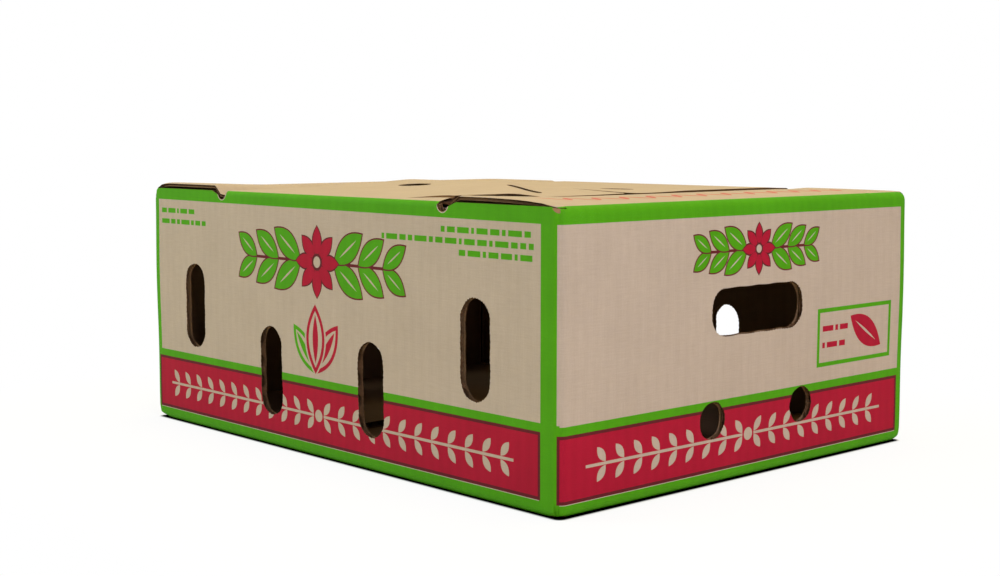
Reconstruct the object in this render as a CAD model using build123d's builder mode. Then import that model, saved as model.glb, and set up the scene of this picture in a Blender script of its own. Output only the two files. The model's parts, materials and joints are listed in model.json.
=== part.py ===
from build123d import *
import os

# Garlic shipping box: one die-cut blank of corrugated board, folded up and glued.
# Frame: origin at the middle of the base, X along the box's length, Z up. The near
# long panel faces -Y, and the rear one repeats it turned about Z. The two end panels
# have their holes opposite each other.

# Outside of the folded box, in millimetres
box_length = 400.0
box_width = 310.0
box_height = 160.0

# Board and its folds
board = 4.0
fold_inner_radius = 1.0
fold_radius = board + fold_inner_radius
cut_overrun = 5.0

# Soft corners, where three folds meet and the board is crushed
crush_radius = 17.0
crush_offset = 3.8

# Glued joint of the blank, inside the rear left corner
glue_tab_width = 35.0
glue_tab_end_gap = 10.0
glue_tab_bevel = 9.0
joint_setback = 0.8
joint_press = 0.2

# Bottom flaps: the end flaps lie inside, the long flaps outside
bottom_end_flap_reach = 154.0
bottom_side_clearance = 2.0
bottom_seam = 3.0
bottom_recess = 4.5
end_fold_height = 2.0

# Upright vent slots of a long panel, two pairs about a shifted middle
slot_width = 23.7
slot_height = 56.2
slot_shift = -5.7
outer_slot_from_end = 58.9
outer_slot_level = 82.2
inner_slot_spread = 50.9
inner_slot_level = 48.4

# Hand hole and round vents of an end panel, about a shifted middle
end_hole_shift = 4.7
hand_hole_width = 82.5
hand_hole_height = 27.2
hand_hole_radius = 11.8
hand_hole_level = 97.6
round_vent_diameter = 21.4
round_vent_spread = 40.5
round_vent_level = 37.4

# Notches in a long panel's top edge, at both ends of its top flap
notch_shift = -1.5
notch_from_end = 86.0
notch_width = 16.0
notch_depth = 5.5
notch_radius = 4.0
corner_edge_drop = 1.0

# Top end flaps: bowed, then tucked under the long flaps
end_flap_bow = 4.0
end_flap_bow_place = 60.0
landing_clearance = 2.3
tongue_length = 28.0
end_flap_inset = 0.5
tongue_clearance = 1.0
tuck_clearance = 0.3
flap_corner_radius = 6.0

# Top long flaps, sprung a little above level
long_flap_spring = 4.5
long_flap_gap = 4.0
flap_vent_diameter = 22.0
flap_vent_spread = 53.6
flap_vent_reach = 115.0

# Places that follow from the sizes above
half_length = box_length / 2
half_width = box_width / 2
middle_x = half_length - board / 2
middle_y = half_width - board / 2
middle_radius = fold_inner_radius + board / 2
hinge_level = box_height - board
tongue_top = hinge_level - tuck_clearance
tongue_half_width = half_width - board - tongue_clearance
notch_spread = half_length - notch_from_end
long_flap_half = notch_spread - notch_width / 2
end_flap_landing = half_length - long_flap_half - abs(notch_shift) - landing_clearance
end_flap_reach = end_flap_landing + tongue_length
outer_slot_spread = half_length - outer_slot_from_end

# Outside faces of the panels, seen from outside with their own X to the right
near_panel = Plane(origin=(0, -half_width, 0), x_dir=(1, 0, 0), z_dir=(0, -1, 0))
rear_panel = Plane(origin=(0, half_width, 0), x_dir=(-1, 0, 0), z_dir=(0, 1, 0))
right_panel = Plane(origin=(half_length, 0, 0), x_dir=(0, 1, 0), z_dir=(1, 0, 0))
left_panel = Plane(origin=(-half_length, 0, 0), x_dir=(0, -1, 0), z_dir=(-1, 0, 0))
long_panels = (near_panel, rear_panel)
end_panels = (right_panel, left_panel)
through_board = -board - cut_overrun
flap_turns = (0, 180)


# Two equal arcs that leave one point level and reach the other level
def level_step(start, end):
    middle = (Vector(start) + Vector(end)) / 2
    level = (end[0] - start[0], 0)
    first = TangentArc(start, middle, tangent=level)
    TangentArc(middle, end, tangent=first % 1)


# Top end flap in section: crest over the end panel, bow, dip and flat tongue
with BuildPart() as end_flap:
    bow_x = half_length - end_flap_bow_place
    landing_x = half_length - end_flap_landing
    tip_x = half_length - end_flap_reach
    crest_x = half_length - fold_radius
    inner_x = half_length - board
    bow_top = box_height + end_flap_bow
    fold_level = box_height - fold_radius
    with BuildSketch(Plane.XZ) as flap_section:
        with BuildLine():
            TangentArc((half_length, fold_level), (crest_x, box_height), tangent=(0, 1))
            TangentArc((bow_x, bow_top), (crest_x, box_height), tangent=(1, 0))
            level_step((bow_x, bow_top), (landing_x, tongue_top))
            Polyline(
                (landing_x, tongue_top),
                (tip_x, tongue_top),
                (tip_x, tongue_top - board),
                (landing_x, tongue_top - board),
            )
            level_step((landing_x, tongue_top - board), (bow_x, bow_top - board))
            TangentArc((bow_x, bow_top - board), (crest_x, hinge_level), tangent=(1, 0))
            TangentArc((inner_x, fold_level), (crest_x, hinge_level), tangent=(0, 1))
            Polyline(
                (inner_x, fold_level),
                (inner_x, fold_level - board),
                (half_length, fold_level - board),
                (half_length, fold_level),
            )
        make_face()
    extrude(amount=half_width - end_flap_inset, both=True)
    # The wide part ends in the notches, and a narrower tongue runs on inside the walls
    with BuildSketch() as flap_plan:
        with Locations((half_length, 0)):
            Rectangle(notch_from_end, box_width, align=(Align.MAX, Align.CENTER))
            Rectangle(end_flap_reach, 2 * tongue_half_width, align=(Align.MAX, Align.CENTER))
        fillet(flap_plan.vertices().group_by(Axis.X)[0], radius=flap_corner_radius)
    extrude(amount=box_height + end_flap_bow + cut_overrun, mode=Mode.INTERSECT)


# Soft outside shape that rounds the folds at the base and the crushed corners
with BuildPart() as soft_shape:
    soft_height = box_height + end_flap_bow + fold_radius
    Box(box_length, box_width, soft_height, align=(Align.CENTER, Align.CENTER, Align.MIN))
    fillet(soft_shape.edges().group_by(Axis.Z)[0], radius=fold_radius)

with BuildPart() as crush_shape:
    with Locations((0, 0, -crush_offset)):
        Box(
            box_length + 2 * crush_offset,
            box_width + 2 * crush_offset,
            box_height + end_flap_bow + 2 * crush_offset,
            align=(Align.CENTER, Align.CENTER, Align.MIN),
        )
    fillet(crush_shape.edges(), radius=crush_radius)


# Folded body: walls, glued bottom and the two top end flaps, all one sheet
with BuildPart() as box_body:
    # Middle line of the board in plan, from the rear panel's cut edge to the left end panel
    with BuildSketch() as wall_plan:
        with BuildLine():
            FilletPolyline(
                (-half_length + joint_setback, middle_y),
                (middle_x, middle_y),
                (middle_x, -middle_y),
                (-middle_x, -middle_y),
                (-middle_x, 0),
                radius=middle_radius,
            )
        trace(line_width=board)
    extrude(amount=box_height)

    # The left end panel's other half folds into the glue tab, pressed onto the rear panel
    with BuildSketch() as joint_plan:
        with BuildLine():
            FilletPolyline(
                (-middle_x, 0),
                (-middle_x, middle_y - board + joint_press),
                (-half_length + glue_tab_width, middle_y - board + joint_press),
                radius=middle_radius,
            )
        trace(line_width=board)
    extrude(amount=box_height)

    # Glue tab cut short at both ends, with a bevel
    with BuildSketch(Plane.XZ.offset(-half_width + board)) as tab_trims:
        for edge_level, inward in ((0, 1), (box_height, -1)):
            with BuildLine():
                Polyline(
                    (-half_length + fold_radius, edge_level - inward * cut_overrun),
                    (-half_length + fold_radius, edge_level + inward * glue_tab_end_gap),
                    (-half_length + glue_tab_width, edge_level + inward * (glue_tab_end_gap + glue_tab_bevel)),
                    (-half_length + glue_tab_width + cut_overrun, edge_level - inward * cut_overrun),
                    close=True,
                )
            make_face()
    extrude(amount=board, mode=Mode.SUBTRACT)

    # Top edges: bare corners just under the crest, level seats for the long flaps, open ends
    with Locations((0, 0, box_height - corner_edge_drop)):
        Box(
            box_length, box_width, board, align=(Align.CENTER, Align.CENTER, Align.MIN), mode=Mode.SUBTRACT
        )
    for panel in long_panels:
        with BuildSketch(panel) as top_cuts:
            with Locations((notch_shift, hinge_level)):
                Rectangle(2 * notch_spread, 2 * board, align=(Align.CENTER, Align.MIN))
            with Locations((notch_shift - notch_spread, box_height), (notch_shift + notch_spread, box_height)):
                RectangleRounded(notch_width, 2 * notch_depth, notch_radius)
        extrude(amount=through_board, mode=Mode.SUBTRACT)
    for panel in end_panels:
        with BuildSketch(panel.offset(-fold_radius)) as crest_room:
            with Locations((0, box_height - fold_radius)):
                Rectangle(box_width, 2 * board, align=(Align.CENTER, Align.MIN))
            Rectangle(box_width, 2 * end_fold_height)
        extrude(amount=fold_radius + cut_overrun, mode=Mode.SUBTRACT)

    # Bottom flaps, glued where they lie on each other
    with GridLocations(0, half_width + bottom_seam / 2, 1, 2):
        Box(
            box_length - 2 * bottom_recess,
            half_width - bottom_seam / 2,
            board,
            align=(Align.CENTER, Align.CENTER, Align.MIN),
        )
    with Locations((0, 0, board)):
        with GridLocations(box_length - bottom_end_flap_reach, 0, 2, 1):
            Box(
                bottom_end_flap_reach,
                box_width - 2 * (board + bottom_side_clearance),
                board,
                align=(Align.CENTER, Align.CENTER, Align.MIN),
            )

    # Top end flaps, one at each end
    for turn in flap_turns:
        with Locations(Rotation(0, 0, turn)):
            add(end_flap.part)

    add(soft_shape.part, mode=Mode.INTERSECT)
    add(crush_shape.part, mode=Mode.INTERSECT)

    # Vent slots of the long panels
    for panel in long_panels:
        with BuildSketch(panel) as slots:
            for spread, level in (
                (outer_slot_spread, outer_slot_level),
                (inner_slot_spread, inner_slot_level),
            ):
                with Locations((slot_shift, level)):
                    with GridLocations(2 * spread, 0, 2, 1):
                        SlotOverall(slot_height, slot_width, rotation=90)
        extrude(amount=through_board, mode=Mode.SUBTRACT)

    # Hand hole and round vents of the end panels
    for panel, hole_shift in ((right_panel, end_hole_shift), (left_panel, -end_hole_shift)):
        with BuildSketch(panel) as end_holes:
            with Locations((hole_shift, hand_hole_level)):
                RectangleRounded(hand_hole_width, hand_hole_height, hand_hole_radius)
            with Locations((hole_shift, round_vent_level)):
                with GridLocations(2 * round_vent_spread, 0, 2, 1):
                    Circle(round_vent_diameter / 2)
        extrude(amount=through_board, mode=Mode.SUBTRACT)


# Near top long flap: rounded crest at the fold, then a slight spring up to its free edge
with BuildPart() as near_top_flap:
    free_y = -long_flap_gap / 2
    crest_y = -half_width + board
    with BuildSketch(Plane.YZ.offset(notch_shift - long_flap_half)) as long_flap_section:
        with BuildLine():
            TangentArc((-half_width, hinge_level), (crest_y, box_height), tangent=(0, 1))
            TangentArc((crest_y, box_height), (free_y, box_height + long_flap_spring), tangent=(1, 0))
            Line((free_y, box_height + long_flap_spring), (free_y, hinge_level + long_flap_spring))
            TangentArc((crest_y, hinge_level), (free_y, hinge_level + long_flap_spring), tangent=(1, 0))
            Line((crest_y, hinge_level), (-half_width, hinge_level))
        make_face()
    extrude(amount=2 * long_flap_half)
    fillet(
        near_top_flap.edges().filter_by(Axis.Z).group_by(Axis.Y)[-1],
        radius=flap_corner_radius,
    )
    with BuildSketch(Plane.XY.offset(box_height)) as flap_vents:
        with Locations((notch_shift, -half_width + flap_vent_reach)):
            with GridLocations(2 * flap_vent_spread, 0, 2, 1):
                Circle(flap_vent_diameter / 2)
    extrude(amount=box_height, both=True, mode=Mode.SUBTRACT)

# Rear top long flap: the same flap, turned about Z
with BuildPart() as rear_top_flap:
    with Locations(Rotation(0, 0, flap_turns[1])):
        add(near_top_flap.part)


box_body.part.label = "box_body"
near_top_flap.part.label = "near_top_flap"
rear_top_flap.part.label = "rear_top_flap"

os.makedirs("parts", exist_ok=True)
export_step(box_body.part, "parts/box_body.step")
export_step(near_top_flap.part, "parts/near_top_flap.step")
export_step(rear_top_flap.part, "parts/rear_top_flap.step")
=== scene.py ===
import json
import math
from functools import partial

import bpy
import numpy as np
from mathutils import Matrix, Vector
from mathutils.geometry import delaunay_2d_cdt

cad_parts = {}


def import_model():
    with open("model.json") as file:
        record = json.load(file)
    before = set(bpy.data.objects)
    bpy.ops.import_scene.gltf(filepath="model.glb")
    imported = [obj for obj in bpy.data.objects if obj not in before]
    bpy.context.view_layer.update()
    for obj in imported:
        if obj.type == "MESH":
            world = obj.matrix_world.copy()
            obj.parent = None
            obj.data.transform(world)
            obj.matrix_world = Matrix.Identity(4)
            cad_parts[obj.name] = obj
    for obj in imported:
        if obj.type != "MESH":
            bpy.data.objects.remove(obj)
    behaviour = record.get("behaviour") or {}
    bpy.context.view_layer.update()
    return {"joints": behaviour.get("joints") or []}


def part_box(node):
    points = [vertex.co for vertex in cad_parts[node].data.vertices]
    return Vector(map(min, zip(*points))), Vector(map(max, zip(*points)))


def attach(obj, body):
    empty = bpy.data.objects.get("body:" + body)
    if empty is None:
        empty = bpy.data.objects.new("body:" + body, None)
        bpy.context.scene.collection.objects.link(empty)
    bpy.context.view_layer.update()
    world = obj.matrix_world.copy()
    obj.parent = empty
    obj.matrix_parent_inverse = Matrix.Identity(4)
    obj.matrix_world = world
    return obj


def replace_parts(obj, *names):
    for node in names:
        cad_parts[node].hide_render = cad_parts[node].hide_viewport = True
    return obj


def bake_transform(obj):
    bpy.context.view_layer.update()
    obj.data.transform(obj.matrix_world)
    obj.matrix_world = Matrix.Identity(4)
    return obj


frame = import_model()

# Sizes are in millimetres, in the box's own frame. The box is one blank of corrugated board.
# A point of the blank is (u, v): u runs to the right round the outside of the walls, v runs up.
# A pair of lengths that a soft step runs over is (where it starts, where it ends).
MM = 0.001
body_low, body_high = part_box("box_body")
LENGTH = round((body_high.x - body_low.x) / MM, 1)
WIDTH = round((body_high.y - body_low.y) / MM, 1)
HEIGHT = round(frame["joints"][0]["pos_m"][2] / MM, 1)
HALF_LENGTH = LENGTH / 2
HALF_WIDTH = WIDTH / 2

# Board: two liners with a wavy medium between them
BOARD = 4.0
LINER = 0.4
MEDIUM = 0.3
FLUTE_PITCH = 7.8
FLUTE_CLEARANCE = 0.1
FLUTE_SWING = BOARD / 2 - LINER - MEDIUM / 2 - FLUTE_CLEARANCE

# Folds of the walls and of the bottom
FOLD = 5.0
QUARTER = FOLD * math.pi / 2
LONG_CORNER_DROP = 0.4
LONG_CORNER_TOP = HEIGHT - LONG_CORNER_DROP
END_CORNER_DROP = 0.9
END_CORNER_TOP = HEIGHT - END_CORNER_DROP
CORNER_FOOT = 0.8
FAR_CORNER_FOOT = 4.0
TAB_WIDTH = 35.0
TAB_END_GAP = 10.0
TAB_BEVEL = 9.0
JOINT_SETBACK = 0.8
BOTTOM_END_REACH = 154.0
BOTTOM_SEAM = 3.0
BOTTOM_END_LEVEL = 4.15
BOTTOM_END_FOLD = 4.8
BOTTOM_END_FOOT = 0.5
BOTTOM_END_RISE = 8.8
BOTTOM_SIDE_GAP = 2.0
BOTTOM_LONG_GAP = 4.0
BOTTOM_FAR_GAP = 10.0

# Top end flaps: crest, bow, dip and tucked tongue, by distance from the end panel's face
BOW_PLACE = 58.0
BOW_RISE = 1.4
SIDE_BOW_PLACES = {"left": 24.0, "right": 62.0}
NEAR_SIDE_RISES = {"left": 3.6, "right": 3.3}
REAR_SIDE_RISES = {"left": 0.1, "right": 0.5}
SIDE_BOW_REACH = 42.0
SIDE_DIP = (77.0, 90.0)
SIDE_PINCH_SHARE = 0.6
SIDE_PINCH_REACH = 20.0
CREST_RUN = 9.0
SHOULDER_PLACE = 86.0
SHOULDER_SLOPE = 1.5
LANDING_PLACE = 90.2
TONGUE_PLACE = 118.2
TONGUE_GAP = 0.3
TONGUE_LEVEL = HEIGHT - BOARD - TONGUE_GAP
TONGUE_SETBACK = 1.0
TONGUE_HALF = HALF_WIDTH - BOARD - TONGUE_SETBACK
END_FLAP_SETBACK = 0.5
END_FLAP_HALF = HALF_WIDTH - END_FLAP_SETBACK
FLAP_CORNER = 6.0

# Root of a top end flap, where its fold runs out into the upright folds
ROOT_DROP = 0.8
ROOT_SPREAD = 3.6
ROOT_RISE = 0.2
ROOT_RUN = 0.6

# Top long flaps, their folds and the notches at their ends
NOTCH_SHIFT = -1.5
NOTCH_SPREAD = 114.0
NOTCH_HALF = 8.0
NOTCH_DEPTH = 6.0
NOTCH_BOTTOM = HEIGHT - NOTCH_DEPTH
NOTCH_RADIUS = 4.6
NOTCH_ARC = (-20, -180)
FLAP_HALF = NOTCH_SPREAD - NOTCH_HALF
FLAP_SETBACK = 2.0
FLAP_REACH = HALF_WIDTH - FLAP_SETBACK
FLAP_SPRING = 4.5
HINGE_LEVEL = HEIGHT - BOARD
FOLD_DEGREE = math.radians(1) * BOARD
STRIP_DEGREES = (30, 65)
STRIP_START, STRIP_END = (HINGE_LEVEL + turn * FOLD_DEGREE for turn in STRIP_DEGREES)
FOLD_PINCH_SHARE = 0.8
WALL_PINCH_RUN = 7.0
FLAP_PINCH_RUN = 9.0

# Warp of the near flap: a hump up to a diagonal ridge, a low side past it and a crack by the fold
RIDGE_TURN = (0.671, 0.735)
RIDGE_DROOP = (-8.0, 18.0)
HUMP_RISE = 3.0
HUMP_REACH = (40.0, 105.0)
HUMP_ACROSS = (-38.0, 36.0)
HUMP_FALL_SHARE = 0.35
HUMP_FALL_START = 110.0
LOW_SIDE_DROP = 0.15
LOW_SIDE_REACH = (8.0, 40.0)
CRACK_PLACE = 12.0
CRACK_WIDTH = 1.5
CRACK_RISE = 2.4
CRACK_LEAD = (3.0, 9.0)
CRACK_ACROSS = (58.0, 104.0)
CRACK_FALL_SHARE = 0.3
CRACK_FALL = (20.0, 70.0)
# Lengths from the flap's right end of the painted crack shadow, at its lower and upper edges
CRACK_SHADE_LENGTHS = (42.0, 36.0)

# Warp of the rear flap, and of both flaps along the gap between them
REAR_FLAT_ACROSS = (-50.0, 25.0)
REAR_FLAT_REACH = (4.0, 40.0)
REAR_EDGE_RISE = 0.7
REAR_EDGE_ACROSS = (60.0, 104.0)
REAR_EDGE_START = (4.0, 30.0)
REAR_EDGE_END = (100.0, 140.0)
SEAM_RISE = 1.7
SEAM_PLACE = 45.0
SEAM_REACH = 42.0
NEAR_SEAM_SHARE = 1.25
NEAR_SEAM_START = (112.0, 150.0)

# Holes of the walls, as (along the panel, height), and of the flaps
SLOT_WIDTH = 23.7
SLOT_HEIGHT = 56.2
SLOTS = ((-146.2, 82.2), (-56.6, 48.4), (45.2, 48.4), (136.2, 81.3))
HAND_HOLE = (4.0, 97.0)
HAND_HOLE_SIZE = (82.5, 27.2)
HAND_HOLE_RADIUS = 11.8
ROUND_VENTS = ((-35.8, 36.8), (45.2, 36.8))
ROUND_VENT_RADIUS = 10.7
FLAP_VENT_RADIUS = 11.0
FLAP_VENT_SPREAD = 53.6
FLAP_VENT_REACH = 115.0

# Die-cut edges: short bites along the cut, and a slower drift of the whole edge
BITE_STEP = 1.2
BITE_ROUNDING = 0.3
BITE_DEPTH = 0.24
BITE_TURNS = (2.4, 3.1)
DRIFT_DEPTH = 0.18
DRIFT_TURNS = (0.5, 0.43)
LAYER_SEED = 1.7

# Soft walls: a bulge with ripples, each (rise, length along, its phase, length up, its phase)
BULGE = 0.9
RIPPLES = ((0.35, 31.0, 1.3, 27.0, 0.4), (0.2, 13.0, 2.0, 17.0, 1.0))

# Soft folds: a sway of the upright ones, and a rounded block that presses the corners in
CORNER_SWAY = 0.25
SWAY_REACH = 26.0
SWAY_LEVEL = 55.0
SWAY_SHIFT = 8.0
SWAY_PITCH = 120.0
CRUSH_RADIUS = 17.0
CRUSH_OFFSET = 3.8
BASE_CRUSH_SHARE = 0.25

# Inks and papers, in the order of the materials
KRAFT, GREEN, RED, MAROON, FADED, INNER, SHADED_CUT = range(7)

# Printed bands, by height on the walls and by margin from the corners of the box
TOP_BAND = 152.2
CORNER_BAND = 150.7
STRIPE_TOP = 48.8
STRIPE_BOTTOM = 43.3
RED_BOTTOM = 9.4
END_PRINT_DROP = 0.8
CREST_INK = 1.6
INK_OVER_CREST = HEIGHT + CREST_INK
INK_UNDER_BASE = -2.0
OVERPRINT = 0.9
PAPER_LINE = 0.4
LONG_STRIP_MARGIN = 13.9
LONG_RED_MARGIN = 14.8
FAR_STRIP_MARGIN = 8.0
FAR_RED_MARGIN = 6.2
STRIP_END_MARGIN = 2.6
END_STRIP_MARGIN = 7.8
END_RED_GAP = 1.5
NOTCH_SCUFF = 0.6
CORNER_SCUFF = (3.2, 1.2)
CORNER_SCUFF_SIZE = (8.0, 4.4)

# Printed motifs: places and sizes, and shares of a motif's own size (length, width, then place)
PETALS = 8
PETAL_EDGES = ((1.0, MAROON), (-0.9, RED))
PETAL_SHARES = (0.9, 0.44, 0.56)
EYE_SHARES = ((MAROON, 0.24), (KRAFT, 0.16))
LONG_SPRIG = {"centre": (-6.8, 119.7), "half_length": 87.0, "leaf": 32.5, "edge": 0.9, "flower": 21.7}
END_SPRIG = {"centre": (3.8, 132.0), "half_length": 58.0, "leaf": 22.7, "edge": 0.8, "flower": 14.8}
STEM_SHARE = 0.86
LEAF_PAIRS = 3
LEAF_TURN = 34
LEAF_START_SHARE = 0.42
LEAF_SHRINK_SHARE = 0.13
LEAF_RISE_SHARE = 0.29
LEAF_WIDTH_SHARE = 0.46
VEIN_SHARES = (0.62, 0.09)
LONG_GARLAND = {"start": -179.0, "end": 166.0, "gap": 14.3}
END_GARLAND = {"start": -136.0, "end": 128.0, "gap": 14.0}
GARLAND_LEVEL = 26.3
GARLAND_HEIGHT = 18.7
GARLAND_STEM_HALF = 0.8
GARLAND_TURN = 52
GARLAND_START_SHARE = 0.6
GARLAND_LEAF_SHARES = (0.56, 0.27, 0.27)
GARLAND_EYE_SHARES = ((RED, 0.27), (KRAFT, 0.2))
SPROUT_ROOT = (-9.0, 51.6)
SPROUT_SIZE = 42.5
SPROUT_SHARES = ((128, 0.86, 0.34, GREEN), (54, 0.92, 0.4, RED), (90, 1.0, 0.44, RED))
SPROUT_MARGIN = 3.0
SPROUT_EDGE = (8.0, 5.0)
RIB_SHARES = (0.7, 0.3)
DASH_SHARE = 2.0
DASH_SWING_SHARE = 1.3
DASH_GAP_SHARE = 0.6
DASH_TURN = 2.3
LABEL = (60.6, 57.6, 138.0, 92.9)
LABEL_LINE = 2.5
LABEL_LEAF = (111.0, 76.0)
LABEL_TURN = -32
FADED_MARKS = 24
FADED_PLACE = 36.0
FADED_START = -125.0
FADED_GAP = 11.0
FADED_SIZE = (21.0, 4.5)
FADED_TURN = 58

# Lines of printed bars: each row is (start, end, seed), with the first row's height and the step down
LEFT_ROWS = {"rows": ((-188, -146, 0), (-188, -132, 1)), "level": 144.7, "gap": 7.3, "height": 3.2}
RIGHT_BARS = ((108, 180, 4), (56, 181, 5), (123, 180, 6))
RIGHT_ROWS = {"rows": RIGHT_BARS, "level": 144.9, "gap": 6.1, "height": 3.2}
LABEL_ROWS = {"rows": ((66, 92, 2), (66, 90, 5)), "level": 80.5, "gap": 10.0, "height": 3.4}

# Steps of the outlines and of the meshes, and the smallest lengths that count
CORNER_STEPS = 8
TONGUE_STEPS = 5
LEAF_STEPS = 13
VEIN_STEPS = 5
SPROUT_STEPS = 15
FLUTE_STEPS = 6
FLUTE_ROW = 14.0
LINE_STEP = 9.0
LINE_OVERRUN = 2.0
OVERRUN = 1.0
RIM_COLUMNS = (1.5, 3.0, 5.0, 7.5, 11.0, 15.0, 20.0, 27.0, 36.0)
GRID_GAP = 15.0
GRID_EDGE = 8.0
CORNER_GRID = 22.0
CORNER_GRID_GAP = GRID_GAP / 4
FLAP_GRID_GAP = 7.0
FLAP_GRID_START = (5.0, 4.0)
CRACK_ROWS = (0.0, CRACK_WIDTH / 2, CRACK_WIDTH, -3.0, -6.0)
STRIP_ROWS = 9
STRIP_GAP = 12.0
NORMAL_STEP = 0.05
SHARP_ANGLE = math.radians(50)
SAME_PLACE = 1e-6
NEVER_ZERO = 1e-9
MERGE_DISTANCE = 1e-4


# Lines through 2-D points, read by their length

def line(start, end, support=2.0):
    """A straight run with a support point near each end, which keeps the run's own direction flat."""
    a, b = np.array(start, float), np.array(end, float)
    length = np.linalg.norm(b - a)
    inward = (b - a) / length * min(support, length / 4)
    return [a, a + inward, b - inward, b]


def arc(centre, radius, start_angle, end_angle, steps=6):
    angles = np.radians(np.linspace(start_angle, end_angle, steps + 1))
    return list(np.array(centre, float) + radius * np.column_stack((np.cos(angles), np.sin(angles))))


def ease(start, end, steps):
    """A soft step that leaves one point level and reaches the other level."""
    share = np.linspace(0, 1, steps + 1)
    soft = share * share * (3 - 2 * share)
    a, b = np.array(start, float), np.array(end, float)
    return list(np.column_stack((a[0] + (b[0] - a[0]) * share, a[1] + (b[1] - a[1]) * soft)))


def soft_step(value, start, end):
    share = np.clip((value - start) / (end - start), 0, 1)
    return share * share * (3 - 2 * share)


def fade(distance, reach):
    """Falls softly from 1 at no distance."""
    return np.exp(-((distance / reach) ** 2))


class Path:
    """Points joined end to end. A mark is a length along them, counted from a point with a known mark."""

    def __init__(self, runs, known_point, known_mark):
        points = [runs[0][0]]
        for run in runs:
            points += [p for p in run if np.linalg.norm(p - points[-1]) > SAME_PLACE]
        self.points = np.array(points)
        steps = np.diff(self.points, axis=0)
        lengths = np.linalg.norm(steps, axis=1)
        marks = np.concatenate(([0.0], np.cumsum(lengths)))
        nearest = np.argmin(np.linalg.norm(self.points - np.array(known_point, float), axis=1))
        self.marks = marks - marks[nearest] + known_mark
        heading = steps / lengths[:, None]
        heading = np.vstack((heading[:1], heading[:-1] + heading[1:], heading[-1:]))
        self.heading = heading / np.linalg.norm(heading, axis=1)[:, None]

    def read(self, mark):
        """Points and headings at these marks."""
        columns = np.hstack((self.points, self.heading))
        found = np.column_stack([np.interp(mark, self.marks, c) for c in columns.T])
        heading = found[:, 2:]
        return found[:, :2], heading / np.linalg.norm(heading, axis=1)[:, None]

    def under(self, mark, depth):
        """Both coordinates at these marks, at this depth under the side to the left."""
        points, heading = self.read(mark)
        return points[:, 0] + depth * heading[:, 1], points[:, 1] - depth * heading[:, 0]

    def mark_of(self, column, value):
        """The last mark at which a coordinate passes a value."""
        side = np.sign(self.points[:, column] - value)
        i = np.nonzero(np.diff(side))[0][-1]
        a, b = self.points[i, column], self.points[i + 1, column]
        return self.marks[i] + (self.marks[i + 1] - self.marks[i]) * (value - a) / (b - a)


# Outside of the walls in plan, from the glue tab's edge round to the rear panel's cut edge
straight_x = HALF_LENGTH - FOLD
straight_y = HALF_WIDTH - FOLD
tab_y = HALF_WIDTH - BOARD
plan = Path(
    [
        line((-HALF_LENGTH + TAB_WIDTH, tab_y), (-straight_x, tab_y)),
        arc((-straight_x, tab_y - FOLD), FOLD, 90, 180, CORNER_STEPS),
        line((-HALF_LENGTH, tab_y - FOLD), (-HALF_LENGTH, -straight_y)),
        arc((-straight_x, -straight_y), FOLD, 180, 270, CORNER_STEPS),
        line((-straight_x, -HALF_WIDTH), (straight_x, -HALF_WIDTH)),
        arc((straight_x, -straight_y), FOLD, 270, 360, CORNER_STEPS),
        line((HALF_LENGTH, -straight_y), (HALF_LENGTH, straight_y)),
        arc((straight_x, straight_y), FOLD, 0, 90, CORNER_STEPS),
        line((straight_x, HALF_WIDTH), (-HALF_LENGTH + JOINT_SETBACK, HALF_WIDTH)),
    ],
    (-straight_x, -HALF_WIDTH),
    0.0,
)

# Sections through the panels, as (distance inward from the panel's face, height), from below up
end_fold_top = BOTTOM_END_FOOT + BOTTOM_END_FOLD
crest_level = HEIGHT - FOLD
end_section = Path(
    [
        line((BOTTOM_END_REACH, BOTTOM_END_LEVEL), (BOTTOM_END_RISE, BOTTOM_END_LEVEL)),
        ease((BOTTOM_END_RISE, BOTTOM_END_LEVEL), (BOTTOM_END_FOLD, BOTTOM_END_FOOT), steps=6),
        arc((BOTTOM_END_FOLD, end_fold_top), BOTTOM_END_FOLD, 270, 180),
        line((0, end_fold_top), (0, crest_level)),
        arc((FOLD, crest_level), FOLD, 180, 90),
        ease((FOLD, HEIGHT), (BOW_PLACE, HEIGHT + BOW_RISE), steps=8),
        ease((BOW_PLACE, HEIGHT + BOW_RISE), (LANDING_PLACE, TONGUE_LEVEL), steps=12),
        line((LANDING_PLACE, TONGUE_LEVEL), (TONGUE_PLACE, TONGUE_LEVEL)),
    ],
    (0, end_fold_top),
    end_fold_top,
)
base_runs = [
    line((HALF_WIDTH - BOTTOM_SEAM / 2, 0), (FOLD, 0)),
    arc((FOLD, FOLD), FOLD, 270, 180),
    line((0, FOLD), (0, HINGE_LEVEL)),
]
long_section = Path(base_runs + [line((0, HINGE_LEVEL), (0, HEIGHT))], (0, FOLD), FOLD)
crest = arc((BOARD, HINGE_LEVEL), BOARD, 180, 90, steps=18)
hinge_section = Path(base_runs + [crest], (0, FOLD), FOLD)
spring_radius = ((FLAP_REACH - BOARD) ** 2 + FLAP_SPRING**2) / (2 * FLAP_SPRING)
spring_angle = math.degrees(math.asin((FLAP_REACH - BOARD) / spring_radius))
spring = arc((BOARD, HEIGHT + spring_radius), spring_radius, 270, 270 + spring_angle, steps=14)
flap_section = Path([crest, spring], (0, HINGE_LEVEL), HINGE_LEVEL)
crest_end = end_section.mark_of(0, FOLD)
shoulder_mark = end_section.mark_of(0, SHOULDER_PLACE)


# Where the blank lies when it is folded up

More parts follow.
